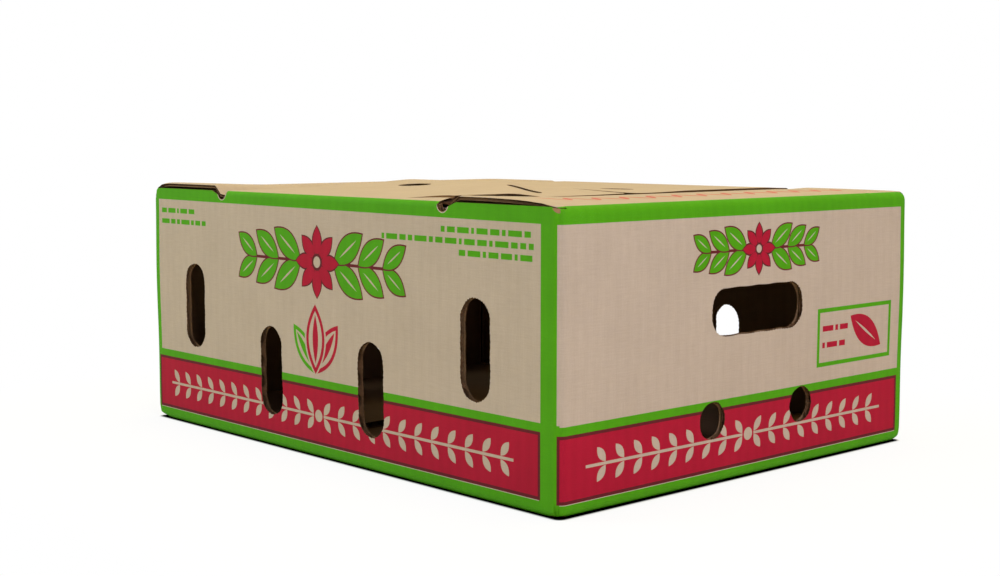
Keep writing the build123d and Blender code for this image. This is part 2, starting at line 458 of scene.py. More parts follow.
class Panel:
    """One wall of the box with its flaps. Along runs to the right from its middle, seen from outside."""

    def __init__(self, name, turn, long, low_straight, high_straight, low_split, high_split):
        self.name = name
        self.long = long
        angle = math.radians(turn)
        self.right = np.array((math.cos(angle), math.sin(angle), 0.0))
        self.out = np.array((math.sin(angle), -math.cos(angle), 0.0))
        self.middle = self.out * (HALF_WIDTH if long else HALF_LENGTH)
        self.section = long_section if long else end_section
        self.low_straight, self.high_straight = low_straight, high_straight
        self.low_split, self.high_split = low_split, high_split
        quarter_turns = round(turn / 90)
        pitch = straight_x + QUARTER + straight_y
        self.u = straight_x + pitch * quarter_turns

    def fold_over(self, along, v, depth, section):
        """Points that follow a section of this panel, at this depth under its outer face."""
        inset, level = section.under(v, depth)
        flat = self.middle + np.outer(along, self.right) - np.outer(inset, self.out)
        return flat + np.outer(level, (0, 0, 1))

    def place_long(self, along, v, depth):
        """Points and depths of a long panel, pinched where its flap bends over."""
        in_hinge = np.abs(along - NOTCH_SHIFT) <= FLAP_HALF + SAME_PLACE
        pinch = 1 - FOLD_PINCH_SHARE * soft_step(v, HINGE_LEVEL - WALL_PINCH_RUN, STRIP_START)
        depth = np.where(in_hinge, depth * pinch, depth)
        upright = self.fold_over(along, v, depth, long_section)
        hinged = self.fold_over(along, v, depth, hinge_section)
        return np.where((in_hinge & (v > HINGE_LEVEL))[:, None], hinged, upright), depth

    def place_end(self, along, v, depth):
        """Points and depths of an end panel, with its top flap pinched and lifted at both sides."""
        rim = END_FLAP_HALF - np.abs(along)
        past_crest = soft_step(v, crest_end, crest_end + CREST_RUN)
        depth = depth * (1 - SIDE_PINCH_SHARE * fade(rim, SIDE_PINCH_REACH) * past_crest)
        rises = NEAR_SIDE_RISES[self.name], REAR_SIDE_RISES[self.name]
        side_rise = np.where(along * self.right[1] < 0, *rises)
        lift = side_lift(v, side_rise, SIDE_BOW_PLACES[self.name])
        placed = self.fold_over(along, v, depth, end_section)
        placed[:, 2] += lift * fade(rim, SIDE_BOW_REACH) * past_crest
        return placed, depth

    def place(self, u, v, depth):
        """Where points of the blank lie on the folded box, at this depth under the outer face."""
        along = u - self.u
        depth = depth - bulge(along, v, self.high_straight)
        placed, depth = (self.place_long if self.long else self.place_end)(along, v, depth)
        inset, level = self.section.under(v, depth)
        points, heading = plan.read(u)
        x = points[:, 0] - inset * heading[:, 1]
        y = points[:, 1] + inset * heading[:, 0]
        corner = (along < -self.low_straight) | (along > self.high_straight)
        corner &= (v >= 0) & (v <= HEIGHT)
        placed = np.where(corner[:, None], np.column_stack((x, y, level)), placed)
        return crush(sway(placed), depth)


def bulge(along, v, half):
    """The walls stand out a little between their folds, unevenly."""
    across = np.cos(np.clip(along / half, -1, 1) * math.pi / 2)
    upward = np.sin(np.clip(v / HEIGHT, 0, 1) * math.pi)
    ripple = sum(
        rise * np.sin(along / length + phase) * np.sin(v / up_length + up_phase)
        for rise, length, phase, up_length, up_phase in RIPPLES
    )
    return across * upward * (BULGE + ripple)


def side_lift(v, side_rise, bow_place):
    """How far a top end flap rides up at its sides, on the bare edges of the long panels, before it dips."""
    inset, level = end_section.read(v)[0].T
    rise = side_rise * np.sin(np.clip(inset / bow_place, 0, 1) * math.pi / 2)
    dip = (side_rise + HEIGHT - TONGUE_LEVEL) * soft_step(inset, *SIDE_DIP)
    return np.where(inset > LANDING_PLACE, 0, HEIGHT + rise - dip - level)


def sway(points):
    """The upright folds stand out a little between their ends, unevenly over their height."""
    x, y, z = points.T
    near_fold = fade(np.abs(x) - HALF_LENGTH, SWAY_REACH) * fade(np.abs(y) - HALF_WIDTH, SWAY_REACH)
    turn = (z - SWAY_LEVEL + SWAY_SHIFT * np.sign(x * y)) * 2 * math.pi / SWAY_PITCH
    outward = CORNER_SWAY * near_fold * (1 - np.cos(turn))
    outward *= np.sin(np.clip(z / HEIGHT, 0, 1) * math.pi)
    return points + np.column_stack((np.sign(x) * outward, np.sign(y) * outward, 0 * z))


def crush(points, depth):
    """Presses points into the rounded block that softens the corners."""
    top = HEIGHT + BOARD + CRUSH_OFFSET
    middle = np.array((0, 0, (top - CRUSH_OFFSET) / 2))
    half = np.array((HALF_LENGTH + CRUSH_OFFSET, HALF_WIDTH + CRUSH_OFFSET, (top + CRUSH_OFFSET) / 2))
    offset = points - middle
    outside = np.maximum(np.abs(offset) - (half - CRUSH_RADIUS), 0)
    reach = np.maximum(np.linalg.norm(outside, axis=1), NEVER_ZERO)
    excess = np.where(reach > SAME_PLACE, reach - CRUSH_RADIUS + depth, 0)
    inward = outside / reach[:, None] * np.sign(offset)
    share = np.where(offset[:, 2] < 0, BASE_CRUSH_SHARE, 1.0)
    return points - inward * (share * np.maximum(excess, 0))[:, None]


half_corner = QUARTER / 2
joint_corner = straight_y - BOARD
tab_split = joint_corner + QUARTER + TAB_WIDTH - FOLD
long_split = straight_x + half_corner
end_split = straight_y + half_corner
panels = {
    "left": Panel("left", -90, False, joint_corner, straight_y, tab_split, end_split),
    "near": Panel("near", 0, True, straight_x, straight_x, long_split, long_split),
    "right": Panel("right", 90, False, straight_y, straight_y, end_split, end_split),
    "rear": Panel("rear", 180, True, straight_x, HALF_LENGTH, long_split, HALF_LENGTH - JOINT_SETBACK),
}


def near_flap_warp(across, reach, level):
    """The near flap springs up to a diagonal ridge, droops past it, and is cracked by one end of its fold."""
    past_ridge = across * RIDGE_TURN[0] + (reach - HALF_WIDTH) * RIDGE_TURN[1]
    droop = soft_step(past_ridge, *RIDGE_DROOP)
    hump = HUMP_RISE * soft_step(reach, *HUMP_REACH) * soft_step(across, *HUMP_ACROSS)
    hump = hump * (1 - HUMP_FALL_SHARE * soft_step(reach, HUMP_FALL_START, FLAP_REACH))
    jump = soft_step(reach, CRACK_PLACE, CRACK_PLACE + CRACK_WIDTH)
    crack = CRACK_RISE * (soft_step(reach, *CRACK_LEAD) + jump) / 2 * soft_step(across, *CRACK_ACROSS)
    crack = crack * (1 - CRACK_FALL_SHARE * soft_step(reach, *CRACK_FALL))
    low = HEIGHT - LOW_SIDE_DROP * soft_step(reach, *LOW_SIDE_REACH) - level
    return (1 - droop) * (hump + crack) + droop * low


def rear_flap_warp(across, reach, level):
    """The rear flap lies down towards one end, and stands a little proud at that end by its fold."""
    flat_share = (1 + soft_step(-across, *REAR_FLAT_ACROSS)) / 2
    by_fold = soft_step(reach, *REAR_EDGE_START) * (1 - soft_step(reach, *REAR_EDGE_END))
    edge = REAR_EDGE_RISE * soft_step(-across, *REAR_EDGE_ACROSS) * by_fold
    return (HEIGHT - level) * flat_share * soft_step(reach, *REAR_FLAT_REACH) + edge


def seam_rise(x, y):
    """Both long flaps stand a little proud along one stretch of the gap between them."""
    return SEAM_RISE * fade(x - SEAM_PLACE, SEAM_REACH) * fade(y, SEAM_REACH)


def place_flap(panel, u, v, depth):
    """Where points of a top long flap lie, in its panel's coordinates, with v going on over the fold."""
    along = u - panel.u
    past_fold = soft_step(v, STRIP_END, STRIP_END + FLAP_PINCH_RUN)
    depth = depth * (1 - FOLD_PINCH_SHARE * (1 - past_fold))
    placed = panel.fold_over(along, v, depth, flap_section)
    reach, level = flap_section.read(v)[0].T
    seam = seam_rise(placed[:, 0], placed[:, 1])
    warp = rear_flap_warp
    if panel.name == "near":
        warp = near_flap_warp
        seam = NEAR_SEAM_SHARE * seam * soft_step(reach, *NEAR_SEAM_START)
    placed[:, 2] += warp(along - NOTCH_SHIFT, reach, level) + seam
    return placed


# Flat outlines on the blank, as loops of (along, v)

def ring(centre, radius, steps=40):
    return arc(centre, radius, 0, 360, steps)[:-1]


def rounded(centre, size, radius, steps=9):
    x, y = size[0] / 2 - radius, size[1] / 2 - radius
    cx, cy = centre
    corners = ((x, -y, 270), (x, y, 0), (-x, y, 90), (-x, -y, 180))
    return [p for dx, dy, turn in corners for p in arc((cx + dx, cy + dy), radius, turn, turn + 90, steps)]


def rectangle(x0, y0, x1, y1):
    return [(x0, y0), (x1, y0), (x1, y1), (x0, y1)]


def lens(centre, length, width, turn, steps=9):
    """A pointed leaf that lies along a turned line."""
    share = np.linspace(-1, 1, steps)
    upper = np.column_stack((share * length / 2, width / 2 * (1 - share**2)))
    loop = np.vstack((upper[::-1], upper[1:-1] * (1, -1)))
    c, s = math.cos(math.radians(turn)), math.sin(math.radians(turn))
    return list(loop @ np.array(((c, s), (-s, c))) + np.array(centre))


def shifted(loop, u):
    return [(p[0] + u, p[1]) for p in loop]


def wander(n, turns, phases):
    """A step to one side or another, which changes from point to point."""
    return np.array((math.sin(n * turns[0] + phases[0]), math.cos(n * turns[1] + phases[1])))


def rough(loop, seed):
    """A die-cut edge: short bites in and out along a slightly wavy loop."""
    points = [np.array(p, float) for p in loop]
    cut = []
    for a, b in zip(points, points[1:] + points[:1]):
        count = round(np.linalg.norm(b - a) / BITE_STEP + BITE_ROUNDING)
        for i in range(count):
            n = len(cut)
            bite = BITE_DEPTH * wander(n, BITE_TURNS, (seed, seed * 2))
            drift = DRIFT_DEPTH * wander(n, DRIFT_TURNS, (seed * 3, seed * 5))
            cut.append(a + (b - a) * i / count + bite + drift)
    return cut


def wall_holes(panel, seed):
    if panel.long:
        size = (SLOT_WIDTH, SLOT_HEIGHT)
        loops = [rounded(place, size, SLOT_WIDTH / 2) for place in SLOTS]
    else:
        side = -1 if panel.name == "left" else 1
        loops = [ring((side * x, z), ROUND_VENT_RADIUS) for x, z in ROUND_VENTS]
        loops.append(rounded((side * HAND_HOLE[0], HAND_HOLE[1]), HAND_HOLE_SIZE, HAND_HOLE_RADIUS))
    return [rough(loop, seed + i) for i, loop in enumerate(loops)]


def flap_vents(seed):
    mark = flap_section.mark_of(0, FLAP_VENT_REACH)
    places = [(NOTCH_SHIFT + side * FLAP_VENT_SPREAD, mark) for side in (-1, 1)]
    return [rough(ring(place, FLAP_VENT_RADIUS), seed + i) for i, place in enumerate(places)]


def notch_edge(side):
    """Top edge of a long panel from its bare corner edge through a notch to its flap, on one side."""
    middle = NOTCH_SHIFT + side * NOTCH_SPREAD
    outer, inner = middle + side * NOTCH_HALF, middle - side * NOTCH_HALF
    centre = (inner + side * NOTCH_RADIUS, NOTCH_BOTTOM + NOTCH_RADIUS)
    hole = arc(centre, NOTCH_RADIUS, *NOTCH_ARC, steps=8)
    if side < 0:
        hole = [np.array((2 * centre[0] - p[0], p[1])) for p in hole]
    return [(outer, LONG_CORNER_TOP), *hole, (inner, STRIP_START)]


def long_outline(panel):
    low, high = -panel.low_split, panel.high_split
    far, flap = BOTTOM_FAR_GAP - straight_x, straight_x - BOTTOM_LONG_GAP
    tip = panel.section.marks[0]
    foot = [(low, FAR_CORNER_FOOT), (far, CORNER_FOOT), (far, tip), (flap, tip), (flap, CORNER_FOOT)]
    top = notch_edge(1) + notch_edge(-1)[::-1]
    return foot + [(high, CORNER_FOOT), (high, LONG_CORNER_TOP), *top, (low, LONG_CORNER_TOP)]


def end_outline(panel):
    low, high = -panel.low_split, panel.high_split
    low_fold, high_fold = -panel.low_straight, panel.high_straight
    flap_low, flap_high = low_fold + BOTTOM_SIDE_GAP, high_fold - BOTTOM_SIDE_GAP
    foot_tip, tip = panel.section.marks[0], panel.section.marks[-1]
    foot = [(flap_low, CORNER_FOOT), (flap_low, foot_tip), (flap_high, foot_tip), (flap_high, CORNER_FOOT)]
    right_side = [(high, FAR_CORNER_FOOT), (high, END_CORNER_TOP), (high_fold, END_CORNER_TOP)]
    half_flap = [
        (straight_y, HEIGHT - ROOT_DROP),
        (straight_y + ROOT_SPREAD, HEIGHT + ROOT_RISE),
        (END_FLAP_HALF, crest_end + ROOT_RUN),
        (END_FLAP_HALF, shoulder_mark),
        (TONGUE_HALF, shoulder_mark + SHOULDER_SLOPE),
    ]
    mirrored = [(-x, y) for x, y in half_flap][::-1]
    corner_points = TONGUE_STEPS + 1
    tongue = rounded((0, 0), (2 * TONGUE_HALF, 2 * tip), FLAP_CORNER, TONGUE_STEPS)
    tongue = tongue[corner_points : 3 * corner_points]
    if panel.low_straight < straight_y:
        fold = low_fold - QUARTER
        tab_top = [(fold, HEIGHT - TAB_END_GAP), (low, HEIGHT - TAB_END_GAP - TAB_BEVEL)]
        tab_foot = [(low, TAB_END_GAP + TAB_BEVEL), (fold, TAB_END_GAP)]
        left_side = [(low_fold, END_CORNER_TOP), *tab_top, *tab_foot, (low_fold, CORNER_FOOT)]
    else:
        left_side = [(low_fold, END_CORNER_TOP), (low, END_CORNER_TOP), (low, CORNER_FOOT)]
    return foot + right_side + half_flap + tongue + mirrored + left_side


def flap_outline():
    low, high = NOTCH_SHIFT - FLAP_HALF, NOTCH_SHIFT + FLAP_HALF
    free = flap_section.marks[-1]
    corners = arc((high - FLAP_CORNER, free - FLAP_CORNER), FLAP_CORNER, 0, 90)
    corners += arc((low + FLAP_CORNER, free - FLAP_CORNER), FLAP_CORNER, 90, 180)
    return [(low, STRIP_END), (high, STRIP_END), *corners]


# Print, as (ink, loop) from the lowest layer up. The motifs are plain leaves, petals and bars.

def polar(centre, reach, turn):
    """The point at this distance and turn from a centre."""
    angle = math.radians(turn)
    return (centre[0] + reach * math.cos(angle), centre[1] + reach * math.sin(angle))


def leaf_turn(turn, side, up):
    """The turn of a leaf that points away from the middle of its stem, above or below it."""
    return turn * up if side > 0 else 180 - turn * up


def rosette(centre, radius):
    shapes = []
    length, width, reach = (radius * share for share in PETAL_SHARES)
    for grown, ink in PETAL_EDGES:
        for turn in range(0, 360, 360 // PETALS):
            shapes.append((ink, lens(polar(centre, reach, turn), length + grown, width + grown, turn)))
    return shapes + [(ink, ring(centre, radius * share, steps=18)) for ink, share in EYE_SHARES]


def outlined_leaf(centre, length, width, turn, edge):
    return [
        (MAROON, lens(centre, length + 3 * edge, width + 2 * edge, turn, LEAF_STEPS)),
        (GREEN, lens(centre, length, width, turn, LEAF_STEPS)),
        (KRAFT, lens(centre, length * VEIN_SHARES[0], width * VEIN_SHARES[1], turn, VEIN_STEPS)),
    ]


def sprig(centre, half_length, leaf, edge, flower):
    """Leaves in pairs to both sides of a flower."""
    x, y = centre
    stem = half_length * STEM_SHARE
    shapes = [(MAROON, rectangle(x - stem, y - edge, x + stem, y + edge))]
    for side in (-1, 1):
        for i in range(LEAF_PAIRS):
            length = leaf * (1 - LEAF_SHRINK_SHARE * i)
            out = flower + (half_length - flower) * (i + LEAF_START_SHARE) / LEAF_PAIRS
            for up in (-1, 1):
                turn = leaf_turn(LEAF_TURN, side, up)
                place = (x + side * out, y + up * length * LEAF_RISE_SHARE)
                shapes += outlined_leaf(place, length, length * LEAF_WIDTH_SHARE, turn, edge)
    return shapes + rosette(centre, flower)


def garland(start, end, gap):
    """A band of leaf pairs on a thin stem, turned outward from the middle of the band."""
    middle = (start + end) / 2
    bottom, top = GARLAND_LEVEL - GARLAND_STEM_HALF, GARLAND_LEVEL + GARLAND_STEM_HALF
    shapes = [(KRAFT, rectangle(start, bottom, end, top))]
    length, width, rise = (GARLAND_HEIGHT * share for share in GARLAND_LEAF_SHARES)
    for side in (-1, 1):
        for i in range(round((end - start) / 2 / gap)):
            along = middle + side * (i + GARLAND_START_SHARE) * gap
            for up in (-1, 1):
                turn = leaf_turn(GARLAND_TURN, side, up)
                shapes.append((KRAFT, lens((along, GARLAND_LEVEL + up * rise), length, width, turn)))
    for ink, share in GARLAND_EYE_SHARES:
        shapes.append((ink, ring((middle, GARLAND_LEVEL), GARLAND_HEIGHT * share, steps=20)))
    return shapes


def sprout():
    """Three leaves that grow from one point, each with a clear margin, a drawn edge and a rib."""
    shapes = []
    for turn, length_share, width_share, ink in SPROUT_SHARES:
        length, width = SPROUT_SIZE * length_share, SPROUT_SIZE * width_share
        place = polar(SPROUT_ROOT, length / 2, turn)
        shapes += [
            (KRAFT, lens(place, length + SPROUT_MARGIN, width + SPROUT_MARGIN, turn, SPROUT_STEPS)),
            (ink, lens(place, length, width, turn, SPROUT_STEPS)),
            (KRAFT, lens(place, length - SPROUT_EDGE[0], width - SPROUT_EDGE[1], turn, SPROUT_STEPS)),
            (ink, lens(place, length * RIB_SHARES[0], width * RIB_SHARES[1], turn)),
        ]
    return shapes


def dashes(start, end, level, height, seed, ink):
    """A line of short bars of uneven length."""
    shapes, x, n = [], start, 0
    while x < end - height:
        width = height * (DASH_SHARE + DASH_SWING_SHARE * math.sin(n * DASH_TURN + seed))
        shapes.append((ink, rectangle(x, level - height / 2, min(x + width, end), level + height / 2)))
        x += width + height * DASH_GAP_SHARE
        n += 1
    return shapes


def dash_rows(rows, level, gap, height, ink=GREEN):
    shapes = []
    for i, (start, end, seed) in enumerate(rows):
        shapes += dashes(start, end, level - gap * i, height, seed, ink)
    return shapes


def bands(low, high, top_low, top_high, strip_low, strip_high, red_low, red_high):
    """Green bands and strips round a kraft window, and a red band with a thin overprinted edge."""
    shapes = [
        (GREEN, [(low, top_low), (high, top_high), (high, INK_OVER_CREST), (low, INK_OVER_CREST)]),
        (GREEN, rectangle(low, INK_UNDER_BASE, high, STRIPE_TOP)),
        (GREEN, rectangle(low, INK_UNDER_BASE, strip_low, INK_OVER_CREST)),
        (GREEN, rectangle(strip_high, INK_UNDER_BASE, high, INK_OVER_CREST)),
        (KRAFT, rectangle(red_low, RED_BOTTOM - OVERPRINT - PAPER_LINE, red_high, STRIPE_BOTTOM)),
    ]
    for grown, ink in ((OVERPRINT, MAROON), (-OVERPRINT, RED)):
        edges = (red_low - grown, RED_BOTTOM - grown, red_high + grown, STRIPE_BOTTOM + grown)
        shapes.append((ink, rectangle(*edges)))
    return shapes


def long_print(panel):
    low, high = -panel.low_split - OVERRUN, panel.high_split + OVERRUN
    strips = (FAR_STRIP_MARGIN - HALF_LENGTH, HALF_LENGTH - LONG_STRIP_MARGIN)
    reds = (FAR_RED_MARGIN - HALF_LENGTH, HALF_LENGTH - LONG_RED_MARGIN)
    shapes = bands(low, high, TOP_BAND, CORNER_BAND, *strips, *reds)
    strip_end = HALF_LENGTH - STRIP_END_MARGIN
    red_bottom, red_top = RED_BOTTOM - OVERPRINT - END_PRINT_DROP, STRIPE_BOTTOM + OVERPRINT - END_PRINT_DROP
    shapes.append((KRAFT, rectangle(strip_end, STRIPE_TOP, high, CORNER_BAND)))
    shapes.append((MAROON, rectangle(strip_end, red_bottom, high, red_top)))
    for side in (-1, 1):
        notch = (NOTCH_SHIFT + side * (FLAP_HALF + NOTCH_RADIUS), NOTCH_BOTTOM + NOTCH_RADIUS)
        shapes.append((KRAFT, ring(notch, NOTCH_RADIUS + NOTCH_SCUFF, steps=24)))
    corner = (straight_x + CORNER_SCUFF[0], HEIGHT - CORNER_SCUFF[1])
    shapes.append((INNER, lens(corner, *CORNER_SCUFF_SIZE, 0)))
    shapes += garland(**LONG_GARLAND) + sprig(**LONG_SPRIG) + sprout()
    return shapes + dash_rows(**LEFT_ROWS) + dash_rows(**RIGHT_ROWS)


def lowered(loop):
    """A loop of an end panel's print, which sits a little lower than a long panel's below the top band."""
    return [(x, y - END_PRINT_DROP * (y < CORNER_BAND)) for x, y in loop]


def label():
    """A framed leaf with two lines of bars."""
    left, bottom, right, top = LABEL
    inside = (left + LABEL_LINE, bottom + LABEL_LINE, right - LABEL_LINE, top - LABEL_LINE)
    shapes = [
        (GREEN, rectangle(*LABEL)),
        (KRAFT, rectangle(*inside)),
        (RED, lens(LABEL_LEAF, length=39.0, width=17.0, turn=LABEL_TURN, steps=SPROUT_STEPS)),
        (KRAFT, lens(LABEL_LEAF, length=26.0, width=1.6, turn=LABEL_TURN, steps=VEIN_STEPS)),
    ]
    return shapes + dash_rows(**LABEL_ROWS, ink=RED)


def end_print(panel):
    low, high = -panel.low_split - OVERRUN, panel.high_split + OVERRUN
    if panel.low_straight < straight_y:
        low = -straight_y - OVERRUN
    top = (CORNER_BAND, CORNER_BAND)
    strips = (low - OVERRUN, HALF_WIDTH - END_STRIP_MARGIN)
    reds = (-HALF_WIDTH - OVERRUN, HALF_WIDTH - END_STRIP_MARGIN - END_RED_GAP)
    shapes = bands(low, high, *top, *strips, *reds)
    shapes += garland(**END_GARLAND) + sprig(**END_SPRIG) + label()
    shapes = [(ink, lowered(loop)) for ink, loop in shapes]
    row = end_section.mark_of(0, FADED_PLACE)
    for i in range(FADED_MARKS):
        turn = FADED_TURN if i % 2 else -FADED_TURN
        shapes.append((FADED, lens((FADED_START + FADED_GAP * i, row), *FADED_SIZE, turn)))
    return shapes


# Materials. Upright, level, speck and cloud noise: grains per millimetre in u and v, detail, roughness.
NOISES = (
    ((1.1, 0.07), 3.0, 0.6),
    ((0.09, 1.4), 2.0, 0.6),
    ((1.3, 1.3), 3.0, 0.7),
    ((0.035, 0.03), 3.0, 0.55),
)
NOISE_THROUGH = 0.1
NOISE_RANGE = (0.3, 0.7)
WEAR_CLOUD_SHARE = 0.35
WEAR_RANGE = (0.78, 1.0)
BUMP_SHARES = (0.5, 0.4, 0.35)
BUMP_STRENGTH = 0.15
BUMP_DISTANCE = 0.0002
PAPER_SPECULAR = 0.12


def add_node(tree, kind, inputs=(), **settings):
    node = tree.nodes.new(kind)
    for key, value in settings.items():
        setattr(node, key, value)
    for key, value in dict(inputs).items():
        socket = node.inputs[key]
        if isinstance(value, bpy.types.NodeSocket):
            tree.links.new(value, socket)
        else:
            socket.default_value = value
    return node


def srgb(red, green, blue):
    """A colour given as it shows on a screen, 0 to 255, as linear light."""
    shown = [c / 255 for c in (red, green, blue)]
    return tuple(c / 12.92 if c <= 0.04045 else ((c + 0.055) / 1.055) ** 2.4 for c in shown) + (1,)


def math_node(tree, operation, a, b=0.0):
    return add_node(tree, "ShaderNodeMath", {0: a, 1: b}, operation=operation).outputs[0]


def scaled(tree, value, factor):
    return math_node(tree, "MULTIPLY", value, factor)


def total(tree, first, *others):
    for other in others:
        first = math_node(tree, "ADD", first, other)
    return first


def vector_node(tree, operation, *vectors):
    return add_node(tree, "ShaderNodeVectorMath", dict(enumerate(vectors)), operation=operation).outputs


def mix_colour(tree, share, a, b, blend="MIX"):
    node = add_node(tree, "ShaderNodeMix", {0: share, 6: a, 7: b}, data_type="RGBA", blend_type=blend)
    return node.outputs[2]


def noise_at(tree, place, scale, detail, roughness):
    """Noise whose grains are 1 / scale millimetres across, with its own scale in u and v."""
    stretched = vector_node(tree, "MULTIPLY", place, (*scale, NOISE_THROUGH))[0]
    inputs = {"Vector": stretched, "Scale": 1.0, "Detail": detail, "Roughness": roughness}
    return add_node(tree, "ShaderNodeTexNoise", inputs).outputs["Fac"]


def spread(tree, value, low, high, to_low, to_high):
    inputs = {"Value": value, "From Min": low, "From Max": high, "To Min": to_low, "To Max": to_high}
    return add_node(tree, "ShaderNodeMapRange", inputs).outputs["Result"]


def board_material(name, colour, paper, grain, mottle, flute, roughness, wear):
    """Paper with fibre grain, blotches and faint flute lines. Ink lets the paper through where it is worn."""
    material = bpy.data.materials.new(name)
    material.use_nodes = True
    tree = material.node_tree
    surface = tree.nodes["Principled BSDF"]
    place = add_node(tree, "ShaderNodeAttribute", attribute_name="blank").outputs["Vector"]
    u = add_node(tree, "ShaderNodeSeparateXYZ", {0: place}).outputs[0]
    wave = math_node(tree, "SINE", scaled(tree, u, 2 * math.pi / FLUTE_PITCH))
    upright, level, speck, cloud = (noise_at(tree, place, *noise) for noise in NOISES)
    swings = ((upright, grain), (level, grain), (speck, grain), (cloud, mottle))
    tones = [spread(tree, noise, *NOISE_RANGE, -swing, swing) for noise, swing in swings]
    lit = math_node(tree, "ADD", 1.0, total(tree, *tones, scaled(tree, wave, flute)))
    tint = colour
    if wear:
        worn = total(tree, speck, scaled(tree, cloud, WEAR_CLOUD_SHARE))
        tint = mix_colour(tree, spread(tree, worn, *WEAR_RANGE, 0.0, wear), colour, paper)
    tree.links.new(mix_colour(tree, 1.0, tint, lit, "MULTIPLY"), surface.inputs["Base Color"])
    surface.inputs["Roughness"].default_value = roughness
    surface.inputs["Specular IOR Level"].default_value = PAPER_SPECULAR
    heights = zip((speck, upright, wave), BUMP_SHARES)
    height = total(tree, *(scaled(tree, value, share) for value, share in heights))
    inputs = {"Height": height, "Strength": BUMP_STRENGTH, "Distance": BUMP_DISTANCE}
    bump = add_node(tree, "ShaderNodeBump", inputs)
    tree.links.new(bump.outputs[0], surface.inputs["Normal"])
    return material


# Looks of the inks and papers: name, colour, paper under it, grain, mottle, flute lines, roughness, wear
KRAFT_COLOUR = srgb(171, 155, 137)
INNER_COLOUR = srgb(136, 106, 75)
# The cut-edge colour is darker than the board's own brown. It is partly the board's colour and partly painted
# shade of the cut edges, the fluting and the walls of holes.
SHADED_CUT_COLOUR = srgb(90, 65, 43)
LOOKS = (
    ("kraft_liner", KRAFT_COLOUR, KRAFT_COLOUR, 0.035, 0.03, 0.012, 0.85, 0.0),
    ("green_ink", srgb(68, 141, 3), KRAFT_COLOUR, 0.03, 0.05, 0.02, 0.7, 0.08),
    ("red_ink", srgb(154, 11, 40), KRAFT_COLOUR, 0.03, 0.06, 0.03, 0.7, 0.05),
    ("overprint_ink", srgb(88, 22, 28), KRAFT_COLOUR, 0.03, 0.05, 0.02, 0.7, 0.05),
    ("faded_ink", srgb(176, 92, 82), KRAFT_COLOUR, 0.03, 0.06, 0.02, 0.75, 0.4),
    ("inner_liner", INNER_COLOUR, INNER_COLOUR, 0.05, 0.05, 0.02, 0.9, 0.0),
    ("shaded_cut_edge", SHADED_CUT_COLOUR, SHADED_CUT_COLOUR, 0.12, 0.1, 0.0, 0.95, 0.0),
)
materials = [board_material(*look) for look in LOOKS]


# Meshes of the sheets

def anticlockwise(loop):
    points = np.array(loop, float)
    x, y = points.T
    area = np.sum(x * np.roll(y, -1) - y * np.roll(x, -1))
    return points if area > 0 else points[::-1]


def stepped(a, b):
    """Points from a towards b, close enough for the line to follow a bent sheet."""
    steps = max(1, math.ceil(math.dist(a, b) / LINE_STEP))
    return [Vector(a).lerp(Vector(b), i / steps) for i in range(steps)]


def triangulate(loops, lines, points):
    """Triangles inside the first loop, each with the numbers of the loops that it lies in."""
    flat, edges, faces = [], [], []
    for loop in loops:
        start = len(flat)
        turned = anticlockwise(loop)
        for a, b in zip(turned, np.roll(turned, -1, axis=0)):
            flat += stepped(a, b)
        faces.append(list(range(start, len(flat))))
    for a, b in lines:
        start = len(flat)
        flat += [*stepped(a, b), Vector(b)]
        edges += [(i, i + 1) for i in range(start, len(flat) - 1)]
    flat += [Vector(p) for p in points]
    verts, _, tris, _, _, inside = delaunay_2d_cdt(flat, edges, faces, 1, MERGE_DISTANCE, True)
    found = np.array([v[:] for v in verts])
    return found, [(t, set(i)) for t, i in zip(tris, inside) if 0 in i]


def set_true_normals(mesh, place, u, v, depth, tris):
    """Gives both faces of a liner the normals of the shape that it follows."""
    across = place(u + NORMAL_STEP, v, depth) - place(u - NORMAL_STEP, v, depth)
    upward = place(u, v + NORMAL_STEP, depth) - place(u, v - NORMAL_STEP, depth)
    normal = np.cross(across, upward)
    normal /= np.maximum(np.linalg.norm(normal, axis=1), NEVER_ZERO)[:, None]
    front = np.array(tris).ravel()
    back = np.array([tri[::-1] for tri in tris]).ravel()
    normals = np.zeros((len(mesh.loops), 3))
    normals[: len(front)] = normal[front]
    normals[len(front) : 2 * len(front)] = -normal[back]
    mesh.normals_split_custom_set(normals.tolist())


